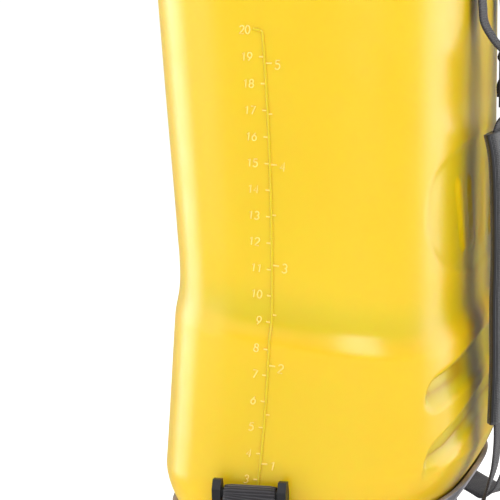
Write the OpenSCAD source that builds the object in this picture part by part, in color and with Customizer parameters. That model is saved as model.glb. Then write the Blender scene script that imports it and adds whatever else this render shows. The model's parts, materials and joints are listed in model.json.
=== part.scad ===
// Lever-operated backpack sprayer. Millimetres, +Z up, origin on the ground under the tank's centre.
// +Y is the side that lies against the wearer's back, +X is the wearer's right.

/* [Tank] */
// Height of the tank's underside above the ground
tank_z = 72; // [72:1:76]
// Height of the flat top of the tank above the ground
tank_top_z = 505; // [490:1:515]
// Half of the tank's width above the ledge
tank_half_w = 194; // [190:1:198]
// How far the lower body stands out past the ledge
ledge_out = 5; // [3:1:8]
// Height of the ledge on the tank's centre plane
ledge_z = 228; // [220:1:240]
// Thickness of the tank's wall
tank_wall = 3; // [2.5:0.5:4]
// Outer radius of the filler neck
neck_r = 58; // [56:1:60]
// Height of the filler neck above the tank's flat top
neck_h = 22; // [20:1:26]

/* [Pump] */
// Distance of the pump's axis from the centre plane
pump_y = -10; // [-12:1:-8]
// Bore radius of the pump barrel
bore_r = 24; // [22:1:25]
// Length of the crank arm between its two centres
crank_r = 62; // [60:1:64]
// Height of the crank shaft above the ground
shaft_z = 43; // [42:1:44]
// Radius of the crank shaft
shaft_r = 6; // [5:0.5:7]
// Distance between the two pins of the link
link_len = 46; // [44:1:50]

/* [Lever] */
// Distance of the pump lever's plane from the centre plane
lever_x = -240; // [-244:1:-238]
// Length of the lever tube
lever_len = 350; // [300:10:380]
// Radius of the lever tube
lever_r = 8; // [7:0.5:9]

/* [Lance] */
// Place of the stowed lance along X
lance_x = -207; // [-209:1:-205]
// Place of the stowed lance along Y
lance_y = -62; // [-64:1:-58]
// Radius of the lance tube
lance_r = 5; // [4:0.5:6]
// Length of the lance tube
lance_len = 380; // [300:10:400]

/* [Straps] */
// Width of the webbing
web_w = 36; // [34:1:38]
// Thickness of the webbing
web_t = 2.2; // [1.8:0.2:2.6]
// Distance of each shoulder strap from the centre plane
strap_x = 54; // [52:1:58]
// Width of the shoulder pad
pad_w = 66; // [60:1:68]
// Thickness of the shoulder pad
pad_t = 10; // [9:1:11]

/* [Hidden] */
$fn = 48;

tank_color = "gold";
base_color = "darkgray";
black = "#2a2a2c";
steel = "silver";
natural = "ivory";
rubber = "#333333";

// ---- Tank shape -------------------------------------------------------------------------------
around = 56;             // points round each section
squareness = 3;          // exponent of the sections, 2 being an ellipse
round_below = 50;        // height of the rounding under the tank
round_above = 46;        // height of the rounding over the tank
side_in_below = 48;      // how far the rounding takes the sides in
outer_in_below = 46;
back_in_below = 30;
side_in_above = 56;
outer_in_above = 34;
back_in_above = 30;
back_y = 116;            // the wearer's side
lean_from_z = 128;       // below this the wearer's side leans in
lean = 0.35;
bow_above = 0.00024;     // curvature of the tank's spine above and below the waist
bow_below = 0.00042;
waist_z = 265;
ledge_half = 9;          // half the height over which the ledge steps out
ledge_tilt = 0.13;       // drop of the ledge towards the wearer
hole_r = 42;             // opening for the pump in the tank's floor

function ease(a, b, v) = let (t = min(1, max(0, (v - a) / (b - a)))) t * t * (3 - 2 * t);
function power(v) = sign(v) * pow(abs(v), 2 / squareness);
function spine(z) = -(z > waist_z ? bow_above : bow_below) * pow(z - waist_z, 2);
function below(z) = 1 - ease(ledge_z - ledge_half, ledge_z + ledge_half, z);
function outer_y(z) = -94.5 - 0.082 * max(0, z - waist_z) - below(z) * (1.2 + 0.07 * (ledge_z - z));
// Depth of the shallow groove above the ledge
function groove(z) = 2 * ease(ledge_z, ledge_z + 18, z) * (1 - ease(ledge_z + 18, ledge_z + 46, z));
function worn_y(z) = back_y + below(z) * ledge_out - lean * max(0, lean_from_z - z);
function side_x(z) = tank_half_w + below(z) * ledge_out;
function corner_in(h, full) = 1 - sqrt(max(0, 1 - pow(min(1, max(0, h / full)), 2)));
function inset_below(z) = corner_in(tank_z + round_below - z, round_below);
function inset_above(z) = corner_in(z - tank_top_z + round_above, round_above);
function tilt(z) = ledge_tilt * ease(120, 215, z) * (1 - ease(255, 400, z));

// A section at height z, grown outward by g: [z, side, outer half, wearer's half, spine]
function section(z, g) =
    let (zc = min(tank_top_z, max(tank_z, z)), lo = inset_below(zc), hi = inset_above(zc))
    [z, side_x(zc) - groove(zc) - side_in_below * lo - side_in_above * hi + g,
     spine(zc) - outer_y(zc) - groove(zc) - outer_in_below * pow(lo, 0.75) - outer_in_above * hi + g,
     worn_y(zc) - spine(zc) - groove(zc) - back_in_below * lo - back_in_above * hi + g, spine(zc)];
function on_section(s, a) = let (y = s[4] + (sin(a) > 0 ? s[3] : s[2]) * power(sin(a)))
    [s[1] * power(cos(a)), y, s[0] - tilt(s[0]) * y];
function ring(s) = [for (i = [0:around - 1]) on_section(s, i * 360 / around)];
function round_ring(z, r, y) =
    [for (i = [0:around - 1]) let (a = i * 360 / around) [r * cos(a), y + r * sin(a), z]];

below_steps = [for (a = [0:15:90]) tank_z + round_below * (1 - cos(a))];
above_steps = [for (a = [0:15:90]) tank_top_z - round_above * (1 - sin(a))];
side_steps = concat([for (z = [134:12:206]) z], [for (z = [ledge_z - 9:6:ledge_z + 27]) z],
    [for (z = [274:26:430]) z]);
wall_steps = concat(below_steps, side_steps, above_steps);

// Joins rings of equal count into a closed tube, the last ring to the first
module wrapped(rings) {
    n = len(rings[0]);
    m = len(rings);
    polyhedron([for (r = rings) each r], [for (j = [0:m - 1], i = [0:n - 1])
        let (k = (j + 1) % m, l = (i + 1) % n) [j * n + i, k * n + i, k * n + l, j * n + l]], 10);
}

// Joins rings into a closed solid with flat ends
module lofted(rings) {
    n = len(rings[0]);
    m = len(rings);
    polyhedron([for (r = rings) each r], concat([[for (i = [0:n - 1]) i]],
        [for (j = [0:m - 2], i = [0:n - 1]) let (l = (i + 1) % n)
            [j * n + i, (j + 1) * n + i, (j + 1) * n + l, j * n + l]],
        [[for (i = [n - 1:-1:0]) (m - 1) * n + i]]), 10);
}

module tank() {
    top = tank_top_z + neck_h;
    inner_steps = [for (z = wall_steps) tank_z + tank_wall
        + (z - tank_z) * (tank_top_z - tank_z - 2 * tank_wall) / (tank_top_z - tank_z)];
    color(tank_color) wrapped(concat(
        [round_ring(tank_z, hole_r, pump_y)],
        [for (z = wall_steps) ring(section(z, 0))],
        [round_ring(tank_top_z + 2, neck_r + 2, 0), round_ring(tank_top_z + 4, neck_r, 0),
         round_ring(top, neck_r, 0), round_ring(top, neck_r - 4, 0),
         round_ring(tank_top_z - tank_wall, neck_r - 4, 0)],
        [for (i = [len(wall_steps) - 1:-1:0]) let (s = section(wall_steps[i], -tank_wall))
            ring([inner_steps[i], s[1], s[2], s[3], s[4]])],
        [round_ring(tank_z + tank_wall, hole_r, pump_y)]));
}

// ---- Base -------------------------------------------------------------------------------------
cradle_gap = 1.6;
cradle_wall = 8;
cradle_hole_r = 52;
frame_x = 150;
frame_t = 10;
cradle_floor_z = tank_z - cradle_gap - cradle_wall;

// Height of the cradle's rim round the tank: low at the ends, higher along the front and the back
function rim_z(a) = let (x = side_x(90) * power(cos(a)))
    90 + (sin(a) > 0 ? 8 : 4) * (1 - ease(130, 170, abs(x)));
// Thickness of the cradle's wall, thinner towards the rim
function cradle_wall_at(v) = cradle_wall * (1 - 0.45 * v);
function cradle_ring(v, g, drop) = [for (i = [0:around - 1])
    let (a = i * 360 / around, z = tank_z + 0.01 + (rim_z(a) - tank_z) * v * v,
        p = on_section(section(z, g), a))
    [p[0], p[1], p[2] - drop]];

module base_cradle() {
    steps = [for (v = [0:0.125:1]) v];
    color(base_color) wrapped(concat(
        [round_ring(cradle_floor_z, cradle_hole_r, pump_y)],
        [for (v = steps)
            cradle_ring(v, cradle_gap + cradle_wall_at(v), (cradle_gap + cradle_wall) * (1 - v))],
        [for (i = [len(steps) - 1:-1:0]) cradle_ring(steps[i], cradle_gap, cradle_gap * (1 - steps[i]))],
        [round_ring(tank_z - cradle_gap, cradle_hole_r, pump_y)]));
}

// One side frame of the stand, drawn in the YZ plane and bored for the shaft bush
module side_frame(x) {
    shaft_y = pump_y + crank_r;
    color(base_color) translate([x - frame_t / 2, 0, 0]) rotate([90, 0, 90]) difference() {
        linear_extrude(frame_t) difference() {
            polygon([[-92, 0], [-62, 0], [-50, 24], [34, 24], [44, 0], [92, 0], [86, 18],
                [66, 52], [36, cradle_floor_z], [-52, cradle_floor_z], [-74, 50], [-90, 18]]);
            for (y = [-32, 16]) translate([y, 40]) circle(8);
            translate([-32, 32]) square([48, 16]);
        }
        translate([shaft_y, shaft_z, -1]) cylinder(h = frame_t + 2, r = shaft_r + 3.05);
    }
}
module side_frame_left() side_frame(-frame_x);
module side_frame_right() side_frame(frame_x);

// Screws up through the frames' top web into the cradle's floor
module frame_screws() {
    color(steel) for (x = [-frame_x, frame_x], y = [-28, 12]) translate([x, y, 44.5]) {
        cylinder(h = 3.4, r = 4);
        cylinder(h = 22, r = 2);
    }
}

// Plate between the frames' feet that keeps grit off the crank
module crank_guard() {
    color(base_color) {
        translate([4.3 - frame_x + frame_t / 2, -80, 0]) cube([2 * frame_x - frame_t - 8.6, 145, 3]);
        for (x = [frame_t / 2 - frame_x + 0.3, frame_x - frame_t / 2 - 4.3]) translate([x, -80, 0])
            cube([4, 145, 14]);
    }
}

module shaft_bushes() {
    color(black) for (x = [-frame_x, frame_x]) translate([x, pump_y + crank_r, shaft_z]) rotate([0, 90, 0])
        difference() {
            union() {
                cylinder(h = frame_t, r = shaft_r + 3, center = true);
                translate([0, 0, sign(x) * (frame_t / 2 + 1)])
                    cylinder(h = 2, r = shaft_r + 6, center = true);
            }
            cylinder(h = 30, r = shaft_r + 0.05, center = true);
        }
}

// Lug on the side of the cradle: two ears and the bar that a strap loops round
anchor_y = -12;
anchor_x = 206;
anchor_z = 118;
module strap_anchor(side) {
    color(base_color) mirror([side < 0 ? 1 : 0, 0, 0]) {
        for (y = [anchor_y - 20, anchor_y + 26]) translate([0, y, 0]) rotate([90, 0, 0]) linear_extrude(6)
            polygon([[181, 78], [190, 74], [206, 90], [211, 108], [212, 121], [209, 127.6], [204, 127.6],
                [201.4, 120], [200.4, 108], [197, 95], [189, 85]]);
        translate([anchor_x, anchor_y - 20.5, anchor_z]) rotate([-90, 0, 0]) cylinder(h = 41, r = 3.5);
    }
}
module strap_anchor_left() strap_anchor(-1);
module strap_anchor_right() strap_anchor(1);

// ---- Carrying handle --------------------------------------------------------------------------
grip_y = 80;
grip_z = 527;
grip_r = 9;
grip_half = 89;
foot_x = 92;
module top_handle() {
    color(black) {
        difference() {
            for (s = [-1, 1]) translate([s * foot_x, 34, tank_top_z + 2.6]) cylinder(h = 5, r = 13);
            for (s = [-1, 1]) translate([s * foot_x, 30, tank_top_z]) cylinder(h = 12, r = 2.5);
        }
        for (s = [-1, 1]) hull($fn = 32) {
            translate([s * foot_x, 42, tank_top_z + 8]) sphere(6);
            translate([s * grip_half, grip_y, grip_z]) sphere(grip_r);
        }
        translate([-grip_half, grip_y, grip_z]) rotate([0, 90, 0]) cylinder(h = 2 * grip_half, r = grip_r);
    }
}
module handle_screws() {
    color(steel) for (s = [-1, 1]) translate([s * foot_x, 30, tank_top_z + 3]) {
        cylinder(h = 4.6, r = 2.4);
        translate([0, 0, 4.6]) cylinder(h = 3, r = 5);
    }
}

// ---- Pump, on its own axis --------------------------------------------------------------------
flange_r = 51;
foot_z = tank_z - 12;     // open lower end of the barrel
head_z = 238;
tube_y = 36;             // the outlet tube beside the barrel
module at_pump(z = 0) translate([0, pump_y, z]) children();

module pump_barrel() {
    color(natural) at_pump() difference() {
        union() {
            translate([0, 0, foot_z]) cylinder(h = head_z - foot_z, r = bore_r + 5);
            translate([0, 0, foot_z + 2]) cylinder(h = 6, r = flange_r);
        }
        translate([0, 0, foot_z - 1]) cylinder(h = head_z, r = bore_r);
        translate([0, -tube_y, foot_z + 1]) cylinder(h = 10, r = 4.6);
    }
}
module barrel_gasket() {
    color(rubber) at_pump(foot_z + 8) difference() {
        cylinder(h = 3.6, r = flange_r - 1);
        translate([0, 0, -1]) cylinder(h = 6, r = hole_r + 1);
    }
}
module barrel_nut() {
    color(natural) at_pump(tank_z + tank_wall + 0.4) difference() {
        union() {
            cylinder(h = 4, r = hole_r + 5);
            cylinder(h = 13, r = bore_r + 5.2);
        }
        translate([0, 0, -1]) cylinder(h = 20, r = bore_r + 5.1);
        translate([0, -tube_y, -1]) cylinder(h = 20, r = 4.8);
    }
}
module pump_head() {
    color(natural) at_pump(head_z) difference() {
        union() {
            cylinder(h = 12, r = bore_r + 5);
            translate([0, 0, 12]) cylinder(h = 8, r = 42);
        }
        translate([0, 0, -1]) cylinder(h = 25, r = 4);
        translate([0, 0, 12]) cylinder(h = 10, r = 8);
        translate([0, -tube_y, 11]) cylinder(h = 12, r = 4.8);
        translate([14, 0, -1]) cylinder(h = 8, r = 3);
        translate([14, 0, 6]) rotate([0, 90, 0]) cylinder(h = 30, r = 3);
    }
}
module inlet_valve() {
    color(rubber) at_pump(head_z) translate([14, 0, -2.2]) cylinder(h = 2, r = 6);
}
module ball_cage() {
    color(natural) at_pump(head_z + 20) difference() {
        cylinder(h = 10, r = 12);
        translate([0, 0, -1]) cylinder(h = 8, r = 7.5);
        translate([0, 0, 5]) cylinder(h = 8, r = 3);
    }
}
module outlet_ball() {
    color(steel) at_pump(head_z + 16.6) sphere(6);
}
module air_chamber() {
    color(natural) at_pump(head_z + 23) rotate_extrude() difference() {
        union() {
            square([41, 100]);
            intersection() {
                translate([0, 100]) scale([41, 26]) circle(1);
                translate([0, 90]) square([41, 60]);
            }
        }
        translate([-1, -1]) square([39, 101]);
        intersection() {
            translate([0, 100]) scale([38, 23]) circle(1);
            translate([-1, 99]) square([41, 60]);
        }
    }
}
module chamber_seal() {
    color(rubber) at_pump(head_z + 20) difference() {
        cylinder(h = 3, r = 42);
        translate([0, 0, -1]) cylinder(h = 5, r = 38);
    }
}
module outlet_tube() {
    color(natural) at_pump(outlet_z + 2) translate([0, -tube_y, 0]) difference() {
        cylinder(h = head_z + 17 - outlet_z, r = 4.5);
        translate([0, 0, -1]) cylinder(h = head_z, r = 3);
    }
}

outlet_z = 47;
barb_r = 5;
module outlet_elbow() {
    color(black) {
        translate([0, pump_y - tube_y, outlet_z - 8]) difference() {
            union() {
                cylinder(h = 16, r = 9);
                cylinder(h = 22.8, r = 6.8);
            }
            translate([0, 0, 8]) cylinder(h = 16, r = 4.6);
        }
        translate([0, -52, outlet_z]) rotate([90, 0, 0]) cylinder(h = 32, r = 8);
        translate([0, -84, outlet_z]) rotate([90, 0, 0]) cylinder(h = 11, r = barb_r);
        translate([0, -95, outlet_z]) rotate([90, 0, 0]) cylinder(h = 19, r = barb_r - 0.5);
    }
}
module hex_ring(h, across, r) difference() {
    cylinder(h = h, r = across / 2 / cos(30), $fn = 6);
    translate([0, 0, -1]) cylinder(h = h + 2, r = r);
}
module outlet_nut() {
    color(black) translate([0, -84.4, outlet_z]) rotate([90, 0, 0]) hex_ring(9, 22, barb_r + 0.2);
}

// ---- Filler: strainer, gasket, lid -------------------------------------------------------------
rim = tank_top_z + neck_h;
strainer_r = neck_r - 5;
module strainer() {
    color(black) translate([0, 0, rim]) {
        difference() {
            union() {
                translate([0, 0, 0.2]) cylinder(h = 2, r = neck_r - 0.5);
                translate([0, 0, -62]) cylinder(h = 62.2, r = strainer_r);
            }
            translate([0, 0, -59]) cylinder(h = 70, r = strainer_r - 3);
            for (z = [-46, -28], i = [0:11]) rotate([0, 0, i * 30]) translate([strainer_r - 6, -7, z])
                cube([12, 14, 13]);
        }
    }
}
module lid_gasket() {
    color(rubber) translate([0, 0, rim + 2.4]) difference() {
        cylinder(h = 2.4, r = neck_r);
        translate([0, 0, -1]) cylinder(h = 5, r = neck_r - 6);
    }
}
lid_r = 66;
module lid() {
    color(black) translate([0, 0, rim - 16]) difference() {
        union() {
            cylinder(h = 25, r = lid_r);
            translate([0, 0, 25]) cylinder(h = 3, r1 = lid_r - 1, r2 = lid_r - 6);
            for (i = [0:17]) rotate([0, 0, i * 20]) translate([lid_r - 1, -3, 2]) cube([3.5, 6, 21]);
        }
        translate([0, 0, -1]) cylinder(h = 22, r = neck_r + 2);
        translate([0, 0, 20]) cylinder(h = 1, r = neck_r + 0.4);
        translate([0, 0, 25.5]) cylinder(h = 5, r = 44);
        cylinder(h = 40, r = 3.2);
    }
}
module lid_vent() {
    color(rubber) translate([0, 0, rim]) {
        translate([0, 0, 9.7]) cylinder(h = 2.3, r = 10);
        translate([0, 0, 3.2]) cylinder(h = 6.6, r = 3);
        translate([0, 0, 1]) cylinder(h = 3.8, r = 6);
    }
}

// ---- Crank and lever ---------------------------------------------------------------------------
shaft_y = pump_y + crank_r;
module along_x(x, y, z) translate([x, y, z]) rotate([0, 90, 0]) children();

module crank_shaft() {
    color(steel) along_x(lever_x - 12, shaft_y, shaft_z)
        cylinder(h = frame_x + 8 - lever_x + 12, r = shaft_r);
}
module crank_arm() {
    color(steel) difference() {
        union() {
            along_x(-14, shaft_y, shaft_z) cylinder(h = 28, r = 11);
            along_x(-6, pump_y, shaft_z) cylinder(h = 12, r = 8);
            translate([-6, pump_y, shaft_z - 5]) cube([12, crank_r, 10]);
        }
        along_x(-20, shaft_y, shaft_z) cylinder(h = 40, r = shaft_r + 0.02);
        along_x(-20, pump_y, shaft_z) cylinder(h = 40, r = 4.02);
    }
}
module crank_pin() {
    color(steel) along_x(-14, pump_y, shaft_z) cylinder(h = 28, r = 4);
}
// The link's upper eyes are slotted, so the pivot that closes the linkage stays open
module link_plates() {
    color(steel) for (s = [-1, 1]) along_x(s * 9.5 - 2, 0, 0) difference() {
        union() {
            translate([-shaft_z, pump_y]) cylinder(h = 4, r = 8);
            translate([-shaft_z - link_len, pump_y]) cylinder(h = 4, r = 8);
            translate([-shaft_z - link_len, pump_y - 6, 0]) cube([link_len, 12, 4]);
        }
        translate([-shaft_z, pump_y, -1]) cylinder(h = 6, r = 4.1);
        for (d = [-2.6, 0]) translate([-shaft_z - link_len, pump_y + d, -1]) cylinder(h = 6, r = 4.6);
        translate([-shaft_z - link_len - 4.6, pump_y - 2.6, -1]) cube([9.2, 2.6, 6]);
    }
}
rod_z = shaft_z + link_len;
module rod_pin() {
    color(steel) along_x(-14, pump_y, rod_z) cylinder(h = 28, r = 4);
}
module piston_rod() {
    color(steel) difference() {
        union() {
            along_x(-6, pump_y, rod_z) cylinder(h = 12, r = 8);
            at_pump(rod_z + 5) cylinder(h = piston_z + 18 - rod_z, r = 5);
        }
        along_x(-10, pump_y, rod_z) cylinder(h = 20, r = 4.02);
    }
}
piston_z = 186;
module piston() {
    color(natural) at_pump(piston_z) difference() {
        cylinder(h = 30, r = bore_r - 1);
        translate([0, 0, -1]) cylinder(h = 40, r = 5.02);
        for (z = [5, 19]) translate([0, 0, z]) difference() {
            cylinder(h = 6, r = bore_r + 1);
            translate([0, 0, -1]) cylinder(h = 8, r = bore_r - 5);
        }
    }
}
module piston_seals() {
    color(rubber) for (z = [5.2, 19.2]) at_pump(piston_z + z) difference() {
        cylinder(h = 5.6, r = bore_r - 0.05);
        translate([0, 0, -1]) cylinder(h = 8, r = bore_r - 4.9);
    }
}

fold_z = 86;             // pivot at which the lever folds
module lever_socket() {
    color(black) difference() {
        union() {
            along_x(lever_x - 10, shaft_y, shaft_z) cylinder(h = 20, r = 15);
            translate([lever_x - 10, shaft_y - 11, shaft_z]) cube([20, 22, fold_z - shaft_z]);
            along_x(lever_x - 16, shaft_y, fold_z) cylinder(h = 32, r = 13);
            translate([lever_x - 16, shaft_y - 11, fold_z - 22]) cube([32, 22, 22]);
        }
        along_x(lever_x - 20, shaft_y, shaft_z) cylinder(h = 40, r = shaft_r + 0.02);
        along_x(lever_x - 20, shaft_y, fold_z) cylinder(h = 40, r = 4.1);
        translate([lever_x - 9.5, shaft_y - 20, fold_z - 14.5]) cube([19, 80, 40]);
    }
}
module lever_bolt() {
    color(steel) {
        along_x(lever_x - 24, shaft_y, fold_z) cylinder(h = 40, r = 4);
        along_x(lever_x + 16, shaft_y, fold_z) cylinder(h = 4, r = 7.5, $fn = 6);
    }
}
module wing_nut() {
    color(black) difference() {
        union() {
            along_x(lever_x - 24, shaft_y, fold_z) cylinder(h = 8, r = 8);
            for (a = [0, 180]) translate([lever_x - 20, shaft_y, fold_z]) rotate([a, 0, 0])
                translate([-2, 5, -4]) cube([4, 13, 8]);
        }
        along_x(lever_x - 30, shaft_y, fold_z) cylinder(h = 30, r = 4.02);
    }
}
module lever_tube() {
    color(steel) difference() {
        union() {
            along_x(lever_x - 9, shaft_y, fold_z) cylinder(h = 18, r = 12);
            translate([lever_x, shaft_y, fold_z + 6]) cylinder(h = lever_len - 6, r = lever_r);
        }
        along_x(lever_x - 20, shaft_y, fold_z) cylinder(h = 40, r = 4.1);
    }
}
grip_len = 112;
module lever_grip() {
    color(black) translate([lever_x, shaft_y, fold_z + lever_len - grip_len + 6]) difference() {
        union() {
            translate([0, 0, 4]) cylinder(h = grip_len - 8, r = 14);
            translate([0, 0, 0]) cylinder(h = 5, r = 16);
            translate([0, 0, grip_len - 5]) cylinder(h = 5, r = 16);
        }
        translate([0, 0, -1]) cylinder(h = grip_len - 5, r = lever_r + 0.02);
    }
}

// ---- Lance, stowed upright ---------------------------------------------------------------------
grip_low = 40;
grip_top = 176;
module at_lance(z = 0) translate([lance_x, lance_y, z]) children();

clip_zs = [262, 412];
// A clip: a foot let into the tank's side and a U open outward that the tube presses into
function surface_x(z, y) = let (s = section(z, 0))
    s[1] * pow(1 - pow(abs(y - s[4]) / s[2], squareness), 1 / squareness);
module lance_clips() {
    color(black) for (z = clip_zs) at_lance(z) difference() {
        union() {
            cylinder(h = 16, r = lance_r + 4);
            translate([0, -4, 0]) cube([1.6 - lance_x - surface_x(z, lance_y), 12, 16]);
        }
        translate([0, 0, -1]) cylinder(h = 18, r = lance_r + 0.3);
        translate([-lance_r - 0.3, -20, -1]) cube([2 * lance_r + 0.6, 20, 18]);
    }
}
module lance_tube() {
    color(steel) at_lance(grip_top - 8) cylinder(h = lance_len, r = lance_r);
}
module lance_handle() {
    color(black) at_lance() difference() {
        union() {
            translate([0, 0, grip_low]) cylinder(h = 96, r = 14);
            translate([0, 0, grip_low + 96]) cylinder(h = 4, r1 = 14, r2 = 16);
            translate([0, 0, grip_low + 100]) cylinder(h = 26, r = 16);
            translate([0, 0, grip_top - 10]) cylinder(h = 8, r = 10);
            translate([-7, -30, 156]) cube([14, 20, 12]);
            translate([0, 0, grip_low - 8]) cylinder(h = 8, r = 9);
            translate([0, 0, grip_low - 17.5]) cylinder(h = 12, r = barb_r);
            translate([0, 0, grip_low - 30]) cylinder(h = 12.5, r = barb_r - 0.5);
        }
        translate([0, 0, grip_top - 8.02]) cylinder(h = 20, r = lance_r + 0.02);
        translate([0, -31, 144]) rotate([-90, 0, 0]) cylinder(h = 20, r = 5.2);
        along_x(-10, -24, 162) cylinder(h = 20, r = 2.1);
        translate([-4.2, -34, 150]) cube([8.4, 19, 20]);
    }
}
module handle_inlet_nut() {
    color(black) at_lance(grip_low - 17.2) hex_ring(9, 22, barb_r + 0.2);
}
module lance_nut() {
    color(black) at_lance(grip_top - 1.6) hex_ring(16, 24, lance_r + 0.1);
}
module valve_gland() {
    color("goldenrod") at_lance(144) rotate([90, 0, 0]) translate([0, 0, 16.2]) hex_ring(6, 14, 2.1);
}
module valve_stem() {
    color(steel) at_lance(144) rotate([90, 0, 0]) translate([0, 0, 15]) cylinder(h = 12, r = 2);
}
module trigger_pin() {
    color(steel) at_lance() along_x(-9, -24, 162) cylinder(h = 18, r = 2.05);
}
module trigger() {
    color(black) at_lance() difference() {
        union() {
            along_x(-4, -24, 162) cylinder(h = 8, r = 5);
            rotate([90, 0, 90]) translate([0, 0, -4]) linear_extrude(8)
                polygon([[-29, 162], [-21, 158], [-27.4, 150], [-27.4, 138], [-30, 120], [-33, 96],
                    [-38, 70], [-43, 66], [-41, 96], [-38, 124], [-34, 146]]);
        }
        along_x(-10, -24, 162) cylinder(h = 20, r = 2.15);
    }
}
nozzle_z = grip_top - 8 + lance_len;
module nozzle_body() {
    color("goldenrod") at_lance(nozzle_z - 6) {
        difference() {
            cylinder(h = 22, r = 8);
            translate([0, 0, -1]) cylinder(h = 7.02, r = lance_r + 0.02);
        }
        translate([0, 0, 22]) cylinder(h = 12, r = 5);
    }
}
module nozzle_cap() {
    color(black) at_lance(nozzle_z + 18) difference() {
        cylinder(h = 18, r = 9.5);
        translate([0, 0, -1]) cylinder(h = 14, r = 5.1);
        cylinder(h = 30, r = 1.5);
    }
}

// ---- Straps: flat bands swept along a route, each station [point, width direction] --------------
function unit(v) = v / norm(v);
function glide(a, b, c, d, t) =
    0.5 * (2 * b + (c - a) * t + (2 * a - 5 * b + 4 * c - d) * t * t + (3 * b - a - 3 * c + d) * t * t * t);
function at(list, i) = list[min(len(list) - 1, max(0, i))];

module band(stations, width, thick, steps = 4) {
    points = [for (i = [0:len(stations) - 2], j = [0:steps - 1])
        glide(at(stations, i - 1)[0], stations[i][0], stations[i + 1][0],
            at(stations, i + 2)[0], j / steps)];
    across = [for (i = [0:len(stations) - 2], j = [0:steps - 1])
        unit(stations[i][1] * (1 - j / steps) + stations[i + 1][1] * j / steps)];
    line = concat(points, [stations[len(stations) - 1][0]]);
    wide = concat(across, [unit(stations[len(stations) - 1][1])]);
    m = len(line);
    lofted([for (i = [0:m - 1]) let (t = unit(line[min(m - 1, i + 1)] - line[max(0, i - 1)]),
        w = unit(wide[i] - t * (wide[i] * t)) * width / 2, n = unit(cross(t, w)) * thick / 2)
        [line[i] + w + n, line[i] + w - n, line[i] - w - n, line[i] - w + n]]);
}
side_on = [1, 0, 0];
strap_y = 140;           // the shoulder straps' distance from the centre plane, along Y
bar_loop = grip_r + web_t / 2 + 1.2;
upper_route = [[[strap_x, grip_y - bar_loop, grip_z - 8], side_on],
    [[strap_x, grip_y - bar_loop, grip_z], side_on],
    [[strap_x, grip_y - bar_loop * 0.707, grip_z + bar_loop * 0.707], side_on],
    [[strap_x, grip_y, grip_z + bar_loop], side_on],
    [[strap_x, grip_y + bar_loop * 0.707, grip_z + bar_loop * 0.707], side_on],
    [[strap_x, grip_y + bar_loop, grip_z], side_on],
    [[strap_x, 101, 508], side_on], [[strap_x, 113, 488], side_on], [[strap_x, 119.5, 466], side_on],
    [[strap_x, 121.5, 448], side_on], [[strap_x, 123, 436], side_on], [[strap_x, 130, 424], side_on],
    [[strap_x, strap_y - 3.2, 416.6], side_on]];
pad_route = [[[strap_x, strap_y - 3, 358], side_on], [[strap_x, strap_y + 2, 335], side_on],
    [[strap_x, strap_y + 3.5, 280], side_on], [[strap_x, strap_y + 3, 235], side_on],
    [[strap_x, strap_y + 4, 190], side_on], [[strap_x, strap_y + 2, 150], side_on]];
tongue_route = [[[strap_x, strap_y, 376.6], side_on], [[strap_x, strap_y - 1, 366], side_on],
    [[strap_x, strap_y - 3, 354], side_on]];
hook_loop = 3.5 + web_t / 2 + 0.4;
lower_route = [[[strap_x, strap_y + 1.5, 149.4], side_on], [[strap_x, 138, 132], side_on],
    [[strap_x + 2, 134, 112], side_on],
    [[68, 127, 88], [1, 0.1, 0]], [[94, 119, 66], [0.9, 0.3, 0]], [[133, 107, 52], [0.8, 0.6, 0]],
    [[173, 82, 51], [0.6, 0.8, 0]], [[197, 50, 60], [0.4, 0.9, 0]], [[208.5, 17, 75], [0.1, 1, 0]],
    [[213, -5, 92], [0, 1, 0]], [[212, anchor_y, 106], [0, 1, 0]],
    [[anchor_x + hook_loop, anchor_y, anchor_z], [0, 1, 0]],
    [[anchor_x + hook_loop * 0.707, anchor_y, anchor_z + hook_loop * 0.707], [0, 1, 0]],
    [[anchor_x, anchor_y, anchor_z + hook_loop], [0, 1, 0]],
    [[anchor_x - hook_loop * 0.707, anchor_y, anchor_z + hook_loop * 0.707], [0, 1, 0]],
    [[anchor_x - hook_loop, anchor_y, anchor_z], [0, 1, 0]], [[202.2, anchor_y, 108], [0, 1, 0]]];

module one_strap(side) mirror([side < 0 ? 1 : 0, 0, 0]) children();
module strap_upper_left() color(black) one_strap(-1) band(upper_route, web_w, web_t);
module strap_upper_right() color(black) one_strap(1) band(upper_route, web_w, web_t);
// The foam pad with the webbing tongue that its upper end carries
module shoulder_pad() {
    band(pad_route, pad_w, pad_t, 3);
    band(tongue_route, web_w, web_t, 3);
}
module shoulder_pad_left() color(black) one_strap(-1) shoulder_pad();
module shoulder_pad_right() color(black) one_strap(1) shoulder_pad();
module strap_lower_left() color(black) one_strap(-1) band(lower_route, web_w, web_t);
module strap_lower_right() color(black) one_strap(1) band(lower_route, web_w, web_t);

// Ladder-lock buckle between the upper webbing and the pad
module adjuster() {
    color(black) translate([strap_x, strap_y, 396]) difference() {
        cube([46, 6, 38], center = true);
        for (z = [-10, 2, 12]) translate([0, 0, z]) cube([web_w + 1, 10, 5], center = true);
    }
}
module strap_adjuster_left() one_strap(-1) adjuster();
module strap_adjuster_right() one_strap(1) adjuster();

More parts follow.
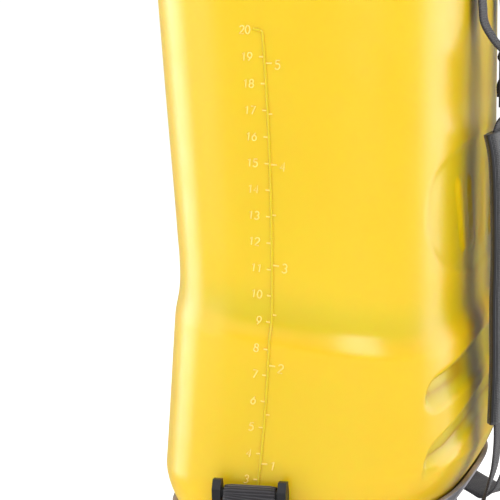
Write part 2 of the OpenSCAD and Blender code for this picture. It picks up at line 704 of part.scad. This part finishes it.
tank();
base_cradle();
side_frame_left();
side_frame_right();
crank_guard();
frame_screws();
shaft_bushes();
strap_anchor_left();
strap_anchor_right();
top_handle();
handle_screws();
pump_barrel();
barrel_gasket();
barrel_nut();
pump_head();
inlet_valve();
ball_cage();
outlet_ball();
air_chamber();
chamber_seal();
outlet_tube();
outlet_elbow();
outlet_nut();
lance_clips();
strap_upper_left();
strap_upper_right();
strap_adjuster_left();
strap_adjuster_right();
shoulder_pad_left();
shoulder_pad_right();
strap_lower_left();
strap_lower_right();
strainer();
lid_gasket();
lid();
lid_vent();
crank_shaft();
crank_arm();
crank_pin();
lever_socket();
lever_bolt();
wing_nut();
lever_tube();
lever_grip();
link_plates();
piston_rod();
piston();
piston_seals();
rod_pin();
lance_handle();
handle_inlet_nut();
lance_nut();
lance_tube();
nozzle_body();
valve_gland();
trigger();
trigger_pin();
valve_stem();
nozzle_cap();
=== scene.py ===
"""Looks of the backpack sprayer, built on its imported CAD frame. Metres, +Z up."""
import json
import math
import bpy
import numpy as np
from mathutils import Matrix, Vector


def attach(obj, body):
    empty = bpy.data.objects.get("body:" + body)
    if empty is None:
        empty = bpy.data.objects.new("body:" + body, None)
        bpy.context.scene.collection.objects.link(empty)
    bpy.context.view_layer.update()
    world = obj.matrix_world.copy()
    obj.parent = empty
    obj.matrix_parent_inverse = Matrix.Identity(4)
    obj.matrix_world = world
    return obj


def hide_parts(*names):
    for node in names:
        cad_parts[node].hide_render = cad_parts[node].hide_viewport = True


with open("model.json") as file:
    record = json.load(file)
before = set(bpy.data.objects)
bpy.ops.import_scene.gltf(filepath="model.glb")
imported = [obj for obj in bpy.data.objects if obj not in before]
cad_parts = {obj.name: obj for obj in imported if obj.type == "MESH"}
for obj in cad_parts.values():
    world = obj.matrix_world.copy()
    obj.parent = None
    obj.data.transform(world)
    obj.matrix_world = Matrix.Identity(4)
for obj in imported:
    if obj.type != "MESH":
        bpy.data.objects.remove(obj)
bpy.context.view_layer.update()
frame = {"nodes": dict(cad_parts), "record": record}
nodes = frame["nodes"]

# ---- The tank's shape, as in the CAD source, in millimetres ------------------------------------
TANK_Z, TOP_Z, HALF_W, LEDGE_OUT, LEDGE_Z, WALL = 72, 505, 194, 5, 228, 3
NECK_R, NECK_H, HOLE_R, PUMP_Y = 58, 22, 42, -10
SQUARE, ROUND_LO, ROUND_HI, BACK_Y, LEAN_FROM, LEAN, WAIST = 3.0, 50, 46, 116, 128, 0.35, 265
LITRE, MARK_20, GALLON = 18.1, 434.2, 3.785
ARCH = 14  # rise of the ledge in the middle of the wearer's side
OVAL_X, OVAL_Z, OVAL_MID = 141, 42, 314
FLUTES = ((211, 20), (168, 34))  # height in the middle, and how far lower 140 mm out
FLUTE_HALF, EMBLEM_Z = 13.5, 310


def ease(a, b, v):
    t = np.clip((np.asarray(v, float) - a) / (b - a), 0, 1)
    return t * t * (3 - 2 * t)


def spine(z):
    return -np.where(z > WAIST, 0.00024, 0.00042) * (z - WAIST) ** 2


def below(z):
    return 1 - ease(LEDGE_Z - 9, LEDGE_Z + 9, z)


def groove(z):
    return 0.9 * ease(LEDGE_Z, LEDGE_Z + 18, z) * (1 - ease(LEDGE_Z + 18, LEDGE_Z + 46, z))


def outer_y(z):
    return -94.5 - 0.082 * np.maximum(0, z - WAIST) - below(z) * (1.2 + 0.07 * (LEDGE_Z - z))


def worn_y(z, lift=0):
    """The wearer's side, with the ledge lifted by some millimetres."""
    ledge = below(z - lift) * LEDGE_OUT - groove(z - lift)
    return BACK_Y + ledge - LEAN * np.maximum(0, LEAN_FROM - z)


def corner_in(h, full):
    return 1 - np.sqrt(np.maximum(0, 1 - np.clip(h / full, 0, 1) ** 2))


def section(z, g=0.0, lift=0.0):
    """Half width, outer half depth, wearer's half depth and spine of the tank at z, grown by g."""
    zc = np.clip(z, TANK_Z, TOP_Z)
    lo = corner_in(TANK_Z + ROUND_LO - zc, ROUND_LO)
    hi = corner_in(zc - TOP_Z + ROUND_HI, ROUND_HI)
    s = spine(zc)
    return (HALF_W + below(zc) * LEDGE_OUT - groove(zc) - 48 * lo - 56 * hi + g,
            s - outer_y(zc) - groove(zc) - 46 * lo ** 0.75 - 34 * hi + g,
            worn_y(zc, lift) - s - 30 * lo - 30 * hi + g, s)


def power(v):
    return np.sign(v) * np.abs(v) ** (2 / SQUARE)


def tilted(z, y):
    """The section's plane leans down towards the wearer near the ledge."""
    return z - 0.13 * ease(120, 215, z) * (1 - ease(255, 400, z)) * y


def on_section(z, a, g=0.0, arched=0.0):
    """Points at heights z and angles a, as x, y, z. The ledge may arch up on the wearer's side."""
    w = section(z, g)[0]
    arch = arched * np.clip(1 - (w * power(np.cos(a)) / 168) ** 2, 0, 1)
    w, lo, hi, s = section(z, g, arch)
    y = s + np.where(np.sin(a) > 0, hi, lo) * power(np.sin(a))
    return np.stack([w * power(np.cos(a)), y, tilted(z, y)], -1)


def mesh_piece(name, verts, faces, mat, body):
    """A new mesh that rides on a body, from points in millimetres."""
    me = bpy.data.meshes.new(name)
    pts = np.asarray(verts, float) * 0.001
    me.from_pydata(pts.tolist(), [], faces)
    me.polygons.foreach_set("use_smooth", [True] * len(me.polygons))
    me.update()
    ob = bpy.data.objects.new(name, me)
    bpy.context.collection.objects.link(ob)
    me.materials.append(mat)
    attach(ob, body)
    return ob


def grid_faces(rows, cols, closed_rows=False, closed_cols=True):
    r = np.arange(rows if closed_rows else rows - 1)
    c = np.arange(cols if closed_cols else cols - 1)
    i, j = np.meshgrid(r, c, indexing="ij")
    k, l = (i + 1) % rows, (j + 1) % cols
    return np.stack([i * cols + j, i * cols + l, k * cols + l, k * cols + j], -1).reshape(-1, 4).tolist()


# ---- Materials ---------------------------------------------------------------------------------
def srgb(*c):
    """A colour given as 0 to 255 per channel, as linear RGBA."""
    shares = (x / 255 for x in c)
    return tuple(v / 12.92 if v <= 0.04045 else ((v + 0.055) / 1.055) ** 2.4 for v in shares) + (1,)


class Mat:
    """A Principled material with small helpers for its procedural detail."""

    def __init__(self, name, color, rough, metallic=0.0, spec=0.5):
        self.m = bpy.data.materials.new(name)
        self.m.use_nodes = True
        self.t = self.m.node_tree
        self.b = self.t.nodes["Principled BSDF"]
        self.b.inputs["Base Color"].default_value = color
        self.b.inputs["Roughness"].default_value = rough
        self.b.inputs["Metallic"].default_value = metallic
        self.b.inputs["Specular IOR Level"].default_value = spec
        self.heights = []

    def node(self, kind, **sockets):
        n = self.t.nodes.new(kind)
        for k, v in sockets.items():
            n.inputs[k.replace("_", " ")].default_value = v
        return n

    def coords(self, which="Object", scale=(1, 1, 1)):
        c = self.t.nodes.new("ShaderNodeTexCoord")
        m = self.node("ShaderNodeMapping", Scale=scale)
        self.t.links.new(c.outputs[which], m.inputs["Vector"])
        return m.outputs["Vector"]

    def noise(self, scale, detail=3.0, rough=0.5, where="Object", stretch=(1, 1, 1)):
        n = self.node("ShaderNodeTexNoise", Scale=scale, Detail=detail, Roughness=rough)
        self.t.links.new(self.coords(where, stretch), n.inputs["Vector"])
        return n.outputs["Fac"]

    def wave(self, scale, where="UV", stretch=(1, 1, 1), distortion=0.0, axis="X"):
        n = self.node("ShaderNodeTexWave", Scale=scale, Distortion=distortion)
        n.bands_direction = axis
        self.t.links.new(self.coords(where, stretch), n.inputs["Vector"])
        return n.outputs["Fac"]

    def math(self, op, a, b):
        n = self.t.nodes.new("ShaderNodeMath")
        n.operation = op
        for s, v in zip(n.inputs, (a, b)):
            if isinstance(v, (int, float)):
                s.default_value = v
            else:
                self.t.links.new(v, s)
        return n.outputs[0]

    def span(self, fac, low, high, lo_at=0.3, hi_at=0.7):
        n = self.t.nodes.new("ShaderNodeMapRange")
        n.inputs["From Min"].default_value, n.inputs["From Max"].default_value = lo_at, hi_at
        n.inputs["To Min"].default_value, n.inputs["To Max"].default_value = low, high
        self.t.links.new(fac, n.inputs["Value"])
        return n.outputs["Result"]

    def rough(self, fac, low, high, lo_at=0.3, hi_at=0.7):
        self.t.links.new(self.span(fac, low, high, lo_at, hi_at), self.b.inputs["Roughness"])
        return self

    def tint(self, fac, one, two, lo_at=0.3, hi_at=0.7):
        n = self.t.nodes.new("ShaderNodeValToRGB")
        n.color_ramp.elements[0].position, n.color_ramp.elements[1].position = lo_at, hi_at
        n.color_ramp.elements[0].color, n.color_ramp.elements[1].color = one, two
        self.t.links.new(fac, n.inputs["Fac"])
        self.t.links.new(n.outputs["Color"], self.b.inputs["Base Color"])
        return self

    def bump(self, fac, strength, distance):
        n = self.node("ShaderNodeBump", Strength=strength, Distance=distance)
        self.t.links.new(fac, n.inputs["Height"])
        if self.heights:
            self.t.links.new(self.heights[-1].outputs["Normal"], n.inputs["Normal"])
        self.heights.append(n)
        self.t.links.new(n.outputs["Normal"], self.b.inputs["Normal"])
        return self


def make_tank():
    k = Mat("tank_plastic", srgb(250, 192, 8), 0.34)
    k.tint(k.noise(9, 2), srgb(250, 190, 8), srgb(252, 195, 12))
    k.rough(k.noise(60, 3), 0.3, 0.4)
    k.bump(k.noise(18, 2), 0.25, 0.0012)
    k.bump(k.noise(900, 2), 0.12, 0.0001)
    k.b.inputs["Subsurface Weight"].default_value = 0.5
    k.b.inputs["Subsurface Radius"].default_value = (1.0, 0.4, 0.06)
    k.b.inputs["Subsurface Scale"].default_value = 0.018
    k.b.inputs["Coat Weight"].default_value = 0.5
    k.b.inputs["Coat Roughness"].default_value = 0.3
    return k.m


def make_plastic(name, one, two, rough=(0.38, 0.55), grain=0.25):
    k = Mat(name, one, rough[0])
    k.tint(k.noise(14, 3), one, two)
    k.rough(k.noise(120, 4), *rough)
    k.bump(k.noise(1400, 2), grain, 0.00012)
    k.bump(k.noise(40, 2), 0.15, 0.0003)
    return k.m


def make_metal(name, one, two, rough=(0.2, 0.38), stretch=(1, 1, 0.05)):
    k = Mat(name, one, rough[0], 1.0)
    k.tint(k.noise(50, 4), one, two)
    k.rough(k.noise(600, 3, stretch=stretch), *rough)
    k.bump(k.noise(900, 2, stretch=stretch), 0.15, 0.00005)
    return k.m


def make_webbing(name, one, two):
    """Ribbed tape: cross ribs along the length, fine warp threads across it. UVs are in metres."""
    k = Mat(name, one, 0.75)
    ribs = k.wave(1.0, stretch=(170, 1, 1), axis="X")
    warp = k.wave(1.0, stretch=(1, 420, 1), axis="Y", distortion=0.3)
    fuzz = k.noise(2500, 2)
    k.tint(k.math("MULTIPLY", ribs, k.span(warp, 0.7, 1.0)), one, two, 0.1, 0.9)
    k.rough(k.noise(90, 3), 0.62, 0.85)
    k.bump(ribs, 0.8, 0.0006)
    k.bump(warp, 0.5, 0.00025)
    k.bump(fuzz, 0.3, 0.0001)
    k.b.inputs["Sheen Weight"].default_value = 0.25
    k.b.inputs["Sheen Roughness"].default_value = 0.4
    return k.m


def make_weave(name, one, two):
    """Coarse plain weave over foam. UVs are in metres."""
    k = Mat(name, one, 0.8)
    a, b = k.wave(1.0, stretch=(260, 1, 1), axis="X"), k.wave(1.0, stretch=(1, 260, 1), axis="Y")
    weave = k.math("MULTIPLY", a, b)
    k.tint(k.math("MULTIPLY", weave, k.noise(70, 3)), one, two, 0.0, 0.5)
    k.rough(k.noise(200, 3), 0.65, 0.9)
    k.bump(weave, 0.7, 0.0005)
    k.bump(k.noise(35, 3), 0.4, 0.0016)
    k.b.inputs["Sheen Weight"].default_value = 0.35
    return k.m


tank_mat = make_tank()
# The raised scale strokes get a paler yellow than the tank: painted highlight, standing in for the light the
# strokes catch.
lit_mark_mat = make_plastic("scale_painted_highlight", srgb(255, 214, 104), srgb(255, 218, 116), (0.24, 0.34), 0.1)
base_mat = make_plastic("base_plastic", srgb(148, 146, 153), srgb(158, 156, 163), (0.4, 0.58))
black_mat = make_plastic("black_plastic", srgb(30, 30, 33), srgb(38, 38, 41))
natural_mat = make_plastic("natural_plastic", srgb(226, 222, 208), srgb(236, 232, 220), (0.3, 0.45))
steel_mat = make_metal("steel", srgb(186, 187, 190), srgb(205, 206, 208))
lance_mat = make_metal("lance_steel", srgb(196, 197, 199), srgb(214, 215, 216), (0.14, 0.26))
brass_mat = make_metal("brass", srgb(206, 168, 92), srgb(222, 186, 112), (0.18, 0.34))
rubber_mat = make_plastic("rubber", srgb(26, 26, 27), srgb(36, 36, 37), (0.6, 0.8), 0.35)
web_mat = make_webbing("webbing", srgb(34, 33, 37), srgb(66, 63, 68))
pad_mat = make_weave("pad_fabric", srgb(30, 30, 33), srgb(58, 58, 62))
piping_mat = make_plastic("pad_piping", srgb(34, 34, 37), srgb(46, 46, 50), (0.3, 0.45))
lever_mat = make_plastic("lever_steel", srgb(24, 24, 26), srgb(30, 30, 33), (0.28, 0.42), 0.3)
grip_mat = make_plastic("grip_rubber", srgb(28, 28, 30), srgb(36, 36, 38), (0.55, 0.75), 0.4)
looks = {"tank_plastic": tank_mat, "base_plastic": base_mat, "black_plastic": black_mat,
         "natural_plastic": natural_mat, "steel": steel_mat, "lance_steel": lance_mat, "brass": brass_mat,
         "rubber": rubber_mat, "webbing": web_mat, "pad_fabric": pad_mat, "lever_steel": lever_mat,
         "grip_rubber": grip_mat}
for part in frame["record"]["subparts"]:
    ob = nodes[part["node"]]
    ob.data.materials.clear()
    ob.data.materials.append(looks[part["material_slot"]])

# ---- Tank: outer skin with its moulded forms, neck and inner skin -------------------------------
AROUND = 400


def inside(d, edge):
    """1 well inside, 0 outside, for a signed distance d that is negative inside."""
    return 1 - ease(-edge, edge, d)


def forms(x, z, worn):
    """How far the moulded forms move the outer skin outward at x and section height z, in millimetres."""
    out = np.zeros_like(x)
    oval = ((np.abs(x) / OVAL_X) ** 3 + (np.abs(z - OVAL_MID) / OVAL_Z) ** 3) ** (1 / 3) - 1
    out -= 1.1 * inside(oval * OVAL_Z, 1.6) * worn
    for mid, fall in FLUTES:
        off = z - mid + fall * (x / 140) ** 2
        d = np.hypot(np.maximum(0, np.abs(x) - 136), off) - FLUTE_HALF
        deep = 1 + 0.5 * np.clip(off / FLUTE_HALF, -1, 1)
        out -= 3.0 * deep * inside(d, 3.4) * worn
    # A plain drop between slanted bars
    drop = np.hypot(x, np.minimum(0, z - 304) - np.maximum(0, z - 304) * 0.55) - 19
    out += 1.5 * inside(drop, 1.4) * worn
    for side in (-1, 1):
        for mid in (50, 82):
            up = z - EMBLEM_Z
            d = np.hypot(x - side * (mid + up * 0.36), np.maximum(0, np.abs(up) - 17)) - 6.5
            out += 1.5 * inside(d, 1.4) * worn
    return out


def tank_skin():
    a = np.linspace(0, 2 * np.pi, AROUND, endpoint=False)
    lo = TANK_Z + ROUND_LO * (1 - np.cos(np.linspace(0, np.pi / 2, 16)))
    hi = TOP_Z - ROUND_HI * (1 - np.sin(np.linspace(0, np.pi / 2, 14)))
    zs = np.concatenate([lo, np.arange(124, 458, 2.0), hi])
    z, ang = np.meshgrid(zs, a, indexing="ij")
    p = on_section(z, ang, 0.0, ARCH)
    du = np.roll(p, -1, 1) - np.roll(p, 1, 1)
    dv = np.gradient(p, axis=0)
    n = np.cross(du, dv)
    n /= np.maximum(1e-9, np.linalg.norm(n, axis=-1, keepdims=True))
    p = p + n * forms(p[..., 0], z, ease(20, 60, p[..., 1]))[..., None]

    def ring(zz, r, y=0.0):
        return np.stack([r * np.cos(a), y + r * np.sin(a), np.full(AROUND, float(zz))], -1)

    steps = np.concatenate([lo[::3], np.arange(140, 450, 30), hi[::3]])[::-1]
    inner = [on_section(np.full(AROUND, s), a, -WALL) for s in steps]
    for q, s in zip(inner, steps):
        q[:, 2] += WALL - (s - TANK_Z) * 2 * WALL / (TOP_Z - TANK_Z)
    rows = [ring(TANK_Z, HOLE_R, PUMP_Y)] + list(p) + [
        ring(TOP_Z, NECK_R + 14), ring(TOP_Z + 0.6, NECK_R + 6), ring(TOP_Z + 3, NECK_R + 1.5),
        ring(TOP_Z + 5, NECK_R),
        ring(TOP_Z + NECK_H - 1, NECK_R), ring(TOP_Z + NECK_H, NECK_R - 1), ring(TOP_Z + NECK_H, NECK_R - 4),
        ring(TOP_Z - WALL, NECK_R - 4)] + inner + [ring(TANK_Z + WALL, HOLE_R, PUMP_Y)]
    return np.concatenate(rows), grid_faces(len(rows), AROUND, closed_rows=True)


verts, faces = tank_skin()
tank = mesh_piece("tank_body", verts, faces, tank_mat, "sprayer")
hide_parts("tank")


# ---- Litre and gallon scale, moulded on the +X side ---------------------------------------------
def side_point(y, z, lift=0.0):
    """A point on the tank's right side, y millimetres from the spine."""
    w, lo, hi, s = section(np.asarray(z, float))
    half = np.where(y > 0, hi, lo)
    x = w * (1 - (np.abs(y) / half) ** SQUARE) ** (1 / SQUARE)
    return np.stack([x + lift, s + y, tilted(z, s + y)], -1)


def arc(cx, cy, rx, ry, a0, a1, n=10):
    t = np.radians(np.linspace(a0, a1, n))
    return [(cx + rx * math.cos(v), cy + ry * math.sin(v)) for v in t]


DIGITS = {
    "0": [arc(.3, .5, .28, .5, 90, 450, 22)],
    "1": [[(.12, .8), (.34, 1), (.34, 0)]],
    "2": [arc(.3, .72, .27, .28, 165, -30, 12) + [(.03, 0), (.58, 0)]],
    "3": [arc(.29, .74, .25, .26, 150, -80, 10), arc(.28, .26, .29, .27, 80, -150, 12)],
    "4": [[(.44, 0), (.44, 1), (.02, .3), (.6, .3)]],
    "5": [[(.54, 1), (.12, 1), (.08, .58)] + arc(.28, .32, .29, .32, 118, -150, 13)],
    "6": [[(.46, .97)] + arc(.3, .32, .27, .32, 150, 510, 22)],
    "7": [[(.03, 1), (.58, 1), (.2, 0)]],
    "8": [arc(.3, .75, .23, .25, -90, 270, 18), arc(.3, .26, .28, .26, 90, 450, 20)],
    "9": [arc(.3, .68, .27, .32, -30, 330, 22) + [(.5, .4), (.16, .02)]],
}


def tubes(lines, radius, sides=8):
    """Round beads along polylines, as one mesh's points and faces."""
    pts, quads = [], []
    for line in lines:
        line = np.asarray(line, float)
        t = np.gradient(line, axis=0)
        t /= np.linalg.norm(t, axis=1, keepdims=True)
        b = np.cross(t, [1.0, 0, 0])
        b /= np.maximum(1e-9, np.linalg.norm(b, axis=1, keepdims=True))
        n = np.cross(b, t)
        a = np.linspace(0, 2 * np.pi, sides, endpoint=False)
        start = len(pts)
        for i, c in enumerate(line):
            pts += [c + (b[i] * math.cos(v) + n[i] * math.sin(v)) * radius for v in a]
        quads += [[start + q for q in f] for f in grid_faces(len(line), sides)]
        for end, order in ((0, 1), (len(line) - 1, -1)):
            quads.append([start + end * sides + q for q in range(sides)][::order])
    return np.array(pts), quads


def written(word, y, z, height, slant=0.12, right=False):
    """The strokes of a number, its left (or right) edge y millimetres from the spine, centred on height z."""
    step = height * 0.76
    width = step * (len(word) - 1) + height * 0.6
    y0 = y - width if right else y
    out = []
    for i, ch in enumerate(word):
        for stroke in DIGITS[ch]:
            s = np.array(stroke)
            yy = y0 + i * step + (s[:, 0] + slant * (s[:, 1] - 0.5)) * height
            zz = z + (s[:, 1] - 0.5) * height
            out.append(side_point(yy, zz, -0.2))
    return out


def scale_lines():
    thin, thick = [], []
    for litre in range(3, 21):
        z = MARK_20 - (20 - litre) * LITRE
        thin += written(str(litre), -7.2 if litre < 12 else -8.6, z, 5.4, right=True)
        if litre < 20:
            y = np.linspace(-3.6, 0, 8)
            thin.append(side_point(y, np.full(8, z)))
    for half in range(2, 11):
        z = MARK_20 - (20 - half / 2 * GALLON) * LITRE - 3
        y = np.linspace(0, 5.0 if half % 2 == 0 else 3.2, 8)
        thin.append(side_point(y, np.full(8, z)))
        if half % 2 == 0:
            thin += written(str(half // 2), 7.0, z - 1, 6.0)
    z = np.arange(96, MARK_20 - 2.9, 2.0)
    bend = np.radians(np.linspace(0, 90, 7))
    y = np.concatenate([np.zeros(len(z)), 3 * np.cos(bend) - 3, [-4.6, -6.2]])
    z = np.concatenate([z, MARK_20 - 3 + 3 * np.sin(bend), [MARK_20 + 0.2, MARK_20 + 0.6]])
    thick.append(side_point(y, z, -0.1))
    return thin, thick


thin, thick = scale_lines()
# The strokes use the paler scale material, whose colour is painted highlight.
v, f = tubes(thin, 0.55)
marks = mesh_piece("scale_marks", v, f, lit_mark_mat, "sprayer")
v, f = tubes(thick, 1.0, 12)
bead = mesh_piece("scale_line", v, f, tank_mat, "sprayer")


# ---- Cradle -------------------------------------------------------------------------------------
GAP, THICK, CRADLE_HOLE, RIM_Z = 1.6, 8, 52, 90


def cradle():
    n = 240
    a = np.linspace(0, 2 * np.pi, n, endpoint=False)
    x = np.abs((HALF_W + LEDGE_OUT) * power(np.cos(a)))
    rim = RIM_Z + np.where(np.sin(a) > 0, 8, 4) * (1 - ease(130, 170, x))

    def ring(v, g, drop):
        p = on_section(TANK_Z + 0.01 + (rim - TANK_Z) * v * v, a, g)
        p[:, 2] -= drop
        return p

    def hole(z):
        return np.stack([CRADLE_HOLE * np.cos(a), PUMP_Y + CRADLE_HOLE * np.sin(a), np.full(n, z)], -1)

    steps = np.linspace(0, 1, 25)
    rows = [hole(TANK_Z - GAP - THICK)]
    rows += [ring(v, GAP + THICK * (1 - 0.45 * v), (GAP + THICK) * (1 - v)) for v in steps]
    rows += [ring(v, GAP, GAP * (1 - v)) for v in steps[::-1]] + [hole(TANK_Z - GAP)]
    return np.concatenate(rows), grid_faces(len(rows), n, closed_rows=True)


v, f = cradle()
cradle_piece = mesh_piece("cradle", v, f, base_mat, "sprayer")
bev = cradle_piece.modifiers.new("edge", "BEVEL")
bev.width, bev.segments, bev.limit_method, bev.angle_limit = 0.0015, 3, "ANGLE", math.radians(50)
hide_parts("base_cradle")


# ---- Straps -------------------------------------------------------------------------------------
def glide(points, steps=10):
    """A smooth line through stations, with as many steps between each two."""
    p = np.asarray(points, float)
    out = []
    for i in range(len(p) - 1):
        a, b, c, d = p[max(0, i - 1)], p[i], p[i + 1], p[min(len(p) - 1, i + 2)]
        for t in np.arange(steps) / steps:
            out.append(0.5 * (2 * b + (c - a) * t + (2 * a - 5 * b + 4 * c - d) * t ** 2
                              + (3 * b - a - 3 * c + d) * t ** 3))
    out.append(p[-1])
    return np.array(out)


def band(name, stations, width, outline, mat, side):
    """A strip swept along its stations.

    outline is its section: (share of half width, height off the middle)."""
    line = glide([s[0] for s in stations])
    wide = glide([s[1] for s in stations])
    t = np.gradient(line, axis=0)
    t /= np.linalg.norm(t, axis=1, keepdims=True)
    wide -= t * (wide * t).sum(1, keepdims=True)
    wide /= np.linalg.norm(wide, axis=1, keepdims=True)
    n = np.cross(t, wide)
    run = np.concatenate([[0], np.cumsum(np.linalg.norm(np.diff(line, axis=0), axis=1))])
    o = np.array(outline)
    rows = (line[:, None] + wide[:, None] * (o[:, 0] * width / 2)[None, :, None]
            + n[:, None] * o[:, 1][None, :, None])
    verts = rows.reshape(-1, 3) * [side, 1, 1]
    k = len(o)
    faces = grid_faces(len(line), k) + [list(range(k))[::-1], [(len(line) - 1) * k + i for i in range(k)]]
    if side < 0:
        faces = [q[::-1] for q in faces]
    ob = mesh_piece(name, verts, faces, mat, "sprayer")
    uv = ob.data.uv_layers.new(name="UVMap")
    across = o[:, 0] * width / 2
    for poly in ob.data.polygons:
        for li, vi in zip(poly.loop_indices, poly.vertices):
            uv.data[li].uv = (run[vi // k] / 1000, across[vi % k] / 1000)
    return ob


def tape_outline(t, n=9):
    """Section of a tape: flat, with round edges."""
    h = t / 2
    top = [(s, h * (1 - abs(s) ** 12 * 0.55)) for s in np.linspace(-1, 1, n)]
    return top + [(s, -h) for s, h in top[::-1]]


def pad_outline(t, n=17):
    h = t / 2
    top = [(s, h * (1 - abs(s) ** 4) ** 0.5 + 0.4) for s in np.linspace(-1, 1, n)]
    return top + [(s, -h) for s, h in top[::-1]]


X0, Y0, GRIP_Y, GRIP_Z, BAR_X, BAR_Y, BAR_Z = 54, 140, 80, 527, 206, -12, 118
LOOP, HOOK, HALF = 11.3, 5.0, 0.707
ACROSS, ALONG = (1, 0, 0), (0, 1, 0)
UPPER = [((X0, y, z), ACROSS) for y, z in (
    (GRIP_Y - LOOP, GRIP_Z - 8), (GRIP_Y - LOOP, GRIP_Z), (GRIP_Y - LOOP * HALF, GRIP_Z + LOOP * HALF),
    (GRIP_Y, GRIP_Z + LOOP), (GRIP_Y + LOOP * HALF, GRIP_Z + LOOP * HALF), (GRIP_Y + LOOP, GRIP_Z), (101, 508),
    (113, 488), (119.5, 466), (121.5, 448), (123, 436), (130, 424), (Y0 - 3.2, 416.6))]
PAD = [((X0, Y0 + y, z), ACROSS) for y, z in (
    (-9, 358), (-5, 335), (-3, 280), (-3.5, 235), (-3, 190), (-4, 150))]
LOWER = [((X0, Y0 - 4, 151), ACROSS), ((X0, 136, 132), ACROSS), ((X0 + 2, 134, 112), ACROSS),
         ((68, 127, 88), (1, 0.1, 0)), ((94, 119, 66), (0.9, 0.3, 0)), ((133, 107, 52), (0.8, 0.6, 0)),
         ((173, 82, 51), (0.6, 0.8, 0)), ((197, 50, 60), (0.4, 0.9, 0)), ((208.5, 17, 75), (0.1, 1, 0)),
         ((213, -5, 92), ALONG), ((212, BAR_Y, 106), ALONG), ((BAR_X + HOOK, BAR_Y, BAR_Z), ALONG),
         ((BAR_X + HOOK * HALF, BAR_Y, BAR_Z + HOOK * HALF), ALONG), ((BAR_X, BAR_Y, BAR_Z + HOOK), ALONG),
         ((BAR_X - HOOK * HALF, BAR_Y, BAR_Z + HOOK * HALF), ALONG), ((BAR_X - HOOK, BAR_Y, BAR_Z), ALONG),
         ((202.2, BAR_Y, 108), ALONG)]
# Tapes threaded through the buckle: the upper one over its second bar and back, the pad's over its
# third
THREADED = [((X0, Y0 + y, z), ACROSS) for y, z in (
    (-3.2, 416.6), (-4.6, 412), (-2, 408.4), (2, 407), (4.6, 403), (2, 399.4), (-2, 398), (-4.8, 393),
    (-4.6, 384))]
TONGUE = [((X0, Y0 + y, z), ACROSS) for y, z in (
    (-4.6, 388), (-2, 386.4), (2, 385.4), (4.6, 381), (1, 373), (-5, 366), (-8, 356))]
for side, word in ((1, "right"), (-1, "left")):
    for part, route in (("upper", UPPER), ("lower", LOWER)):
        ob = band("webbing_%s_%s" % (part, word), route, 36, tape_outline(2.2), web_mat, side)
        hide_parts("strap_%s_%s" % (part, word))
    band("buckle_webbing_" + word, THREADED, 36, tape_outline(1.8), web_mat, side)
    band("pad_webbing_" + word, TONGUE, 36, tape_outline(1.8), web_mat, side)
    pad = band("pad_" + word, PAD, 64, pad_outline(9.6), pad_mat, side)
    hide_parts("shoulder_pad_" + word)
    for edge, tag in ((1, "a"), (-1, "b")):
        line = glide([s[0] for s in PAD])
        line[:, 0] = (line[:, 0] + edge * 32) * side
        v, f = tubes([line], 1.6, 10)
        mesh_piece("piping_%s_%s" % (word, tag), v, f, piping_mat, "sprayer")

# ---- Floor, light, camera -----------------------------------------------------------------------
bpy.ops.mesh.primitive_plane_add(size=90, location=(0, 0, 0))
floor = bpy.context.object
floor.name = "floor"
floor.visible_glossy = False
floor_mat = Mat("floor", (0.8, 0.8, 0.8, 1), 0.9, spec=0.0)
floor_mat.b.inputs["Emission Color"].default_value = (1, 1, 1, 1)
floor_mat.b.inputs["Emission Strength"].default_value = 0.82
floor.data.materials.append(floor_mat.m)

scene = bpy.context.scene
scene.view_settings.view_transform = "Standard"
world = bpy.data.worlds.new("studio")
world.use_nodes = True
world.node_tree.nodes["Background"].inputs["Color"].default_value = (1, 1, 1, 1)
world.node_tree.nodes["Background"].inputs["Strength"].default_value = 0.32
scene.world = world


AIM = Vector((0, 0, 0.28))


def soft_light(name, turn, rise, far, size, bright):
    """A softbox aimed at the tank, turned from +X towards +Y by some degrees, with its radiance."""
    t, r = math.radians(turn), math.radians(rise)
    flat = math.cos(r)
    place = Vector((math.cos(t) * flat, math.sin(t) * flat, math.sin(r))) * far + AIM
    data = bpy.data.lights.new(name, "AREA")
    data.shape, data.size, data.size_y = "RECTANGLE", size[0], size[1]
    data.energy = bright * math.pi * size[0] * size[1]
    ob = bpy.data.objects.new(name, data)
    bpy.context.collection.objects.link(ob)
    ob.location = place
    ob.rotation_euler = (AIM - place).to_track_quat("-Z", "Y").to_euler()


soft_light("right_rim", 128, 8, 2.3, (1.3, 1.8), 1.8)
soft_light("left_rim", -102, 8, 2.3, (1.5, 2.0), 3.0)
soft_light("left_box", -55, 15, 2.3, (1.4, 1.8), 1.2)
soft_light("front_top", -32, 50, 2.6, (2.0, 1.4), 1.6)
soft_light("front_right", 46, 34, 2.4, (1.6, 1.4), 4.2)

AZIMUTH, ELEVATION, DISTANCE, LENS_SCALE = math.radians(104), math.radians(7), 1.8, 1.47
target = Vector((0.015, -0.060, 0.262))
away = Vector((math.sin(AZIMUTH) * math.cos(ELEVATION), -math.cos(AZIMUTH) * math.cos(ELEVATION),
               math.sin(ELEVATION)))
cam_data = bpy.data.cameras.new("camera")
cam = bpy.data.objects.new("camera", cam_data)
bpy.context.collection.objects.link(cam)
cam.location = target + away * DISTANCE
cam.rotation_euler = (-away).to_track_quat("-Z", "Y").to_euler()
cam_data.sensor_width = 36
plane = DISTANCE - 0.194 * math.cos(math.radians(14))
cam_data.lens = 36 * LENS_SCALE * plane * 1000 / 500
scene.camera = cam
